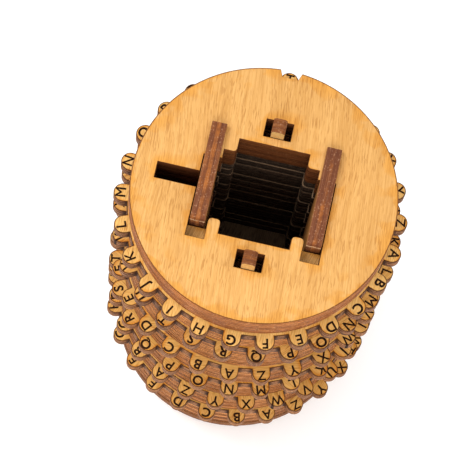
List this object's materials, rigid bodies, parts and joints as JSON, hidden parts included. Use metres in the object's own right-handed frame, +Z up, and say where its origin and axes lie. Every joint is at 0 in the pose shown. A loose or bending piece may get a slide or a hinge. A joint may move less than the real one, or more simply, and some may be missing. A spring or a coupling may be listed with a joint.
{
  "type": "cryptex",
  "caption": "Plywood combination cylinder: lettered rings with round tongues turn between end discs on a cross-cut core, and the whole barrel lifts off a toothed drawer.",
  "frame": {"origin": "centre of the underside of the drawer cap, on the rings' axis", "axes": "+Z up the rings' axis, +Y from the axis to the index notch, +X from the axis to the right side plate"},
  "size_m": [0.078, 0.078, 0.1234],
  "materials": {
    "birch_face": "satin",
    "letter_ply": "satin",
    "scorched_edge": "matte",
    "dark_core": "matte",
    "plate_ply": "satin"
  },
  "bodies": {
    "barrel": {"top_disc": "birch_face", "top_disc_backing": "birch_face", "top_collar": "birch_face", "base_disc": "birch_face", "left_side_plate": "plate_ply", "right_side_plate": "plate_ply", "front_tie_plate": "plate_ply", "back_tie_plate": "plate_ply", "core_former_0": "dark_core", "core_former_1": "dark_core", "core_former_2": "dark_core", "core_former_3": "dark_core", "core_former_4": "dark_core", "core_former_5": "dark_core", "core_former_6": "dark_core", "core_spacer_1": "dark_core", "core_spacer_2": "dark_core", "core_spacer_3": "dark_core", "core_spacer_4": "dark_core", "core_spacer_5": "dark_core", "core_spacer_6": "dark_core"},
    "ring_1": {"letter_ply_1": "letter_ply", "upper_drum_ply_1": "scorched_edge", "lock_ply_1": "scorched_edge"},
    "ring_2": {"letter_ply_2": "letter_ply", "upper_drum_ply_2": "scorched_edge", "lock_ply_2": "scorched_edge", "lower_drum_ply_2": "scorched_edge", "lowest_drum_ply_2": "scorched_edge"},
    "ring_3": {"letter_ply_3": "letter_ply", "upper_drum_ply_3": "scorched_edge", "lock_ply_3": "scorched_edge", "lower_drum_ply_3": "scorched_edge"},
    "ring_4": {"letter_ply_4": "letter_ply", "upper_drum_ply_4": "scorched_edge", "lock_ply_4": "scorched_edge", "lower_drum_ply_4": "scorched_edge"},
    "ring_5": {"letter_ply_5": "letter_ply", "upper_drum_ply_5": "scorched_edge", "lock_ply_5": "scorched_edge", "lower_drum_ply_5": "scorched_edge"},
    "ring_6": {"letter_ply_6": "letter_ply", "upper_drum_ply_6": "scorched_edge", "lock_ply_6": "scorched_edge", "lower_drum_ply_6": "scorched_edge"},
    "drawer": {"drawer_cap": "birch_face", "drawer_front_wall": "dark_core", "drawer_back_wall": "dark_core", "drawer_side_wall": "dark_core", "drawer_roof": "dark_core", "tooth_rail": "plate_ply"}
  },
  "joints": [
    {"name": "ring_1_turn", "type": "hinge", "parent": "barrel", "child": "ring_1", "pos_m": [0, 0, 0], "axis": [0, 0, 1], "continuous": true},
    {"name": "ring_2_turn", "type": "hinge", "parent": "barrel", "child": "ring_2", "pos_m": [0, 0, 0], "axis": [0, 0, 1], "continuous": true},
    {"name": "ring_3_turn", "type": "hinge", "parent": "barrel", "child": "ring_3", "pos_m": [0, 0, 0], "axis": [0, 0, 1], "continuous": true},
    {"name": "ring_4_turn", "type": "hinge", "parent": "barrel", "child": "ring_4", "pos_m": [0, 0, 0], "axis": [0, 0, 1], "continuous": true},
    {"name": "ring_5_turn", "type": "hinge", "parent": "barrel", "child": "ring_5", "pos_m": [0, 0, 0], "axis": [0, 0, 1], "continuous": true},
    {"name": "ring_6_turn", "type": "hinge", "parent": "barrel", "child": "ring_6", "pos_m": [0, 0, 0], "axis": [0, 0, 1], "continuous": true},
    {"name": "barrel_lift", "type": "slide", "parent": "drawer", "child": "barrel", "axis": [0, 0, 1], "range_m": [0, 0.096]}
  ]
}
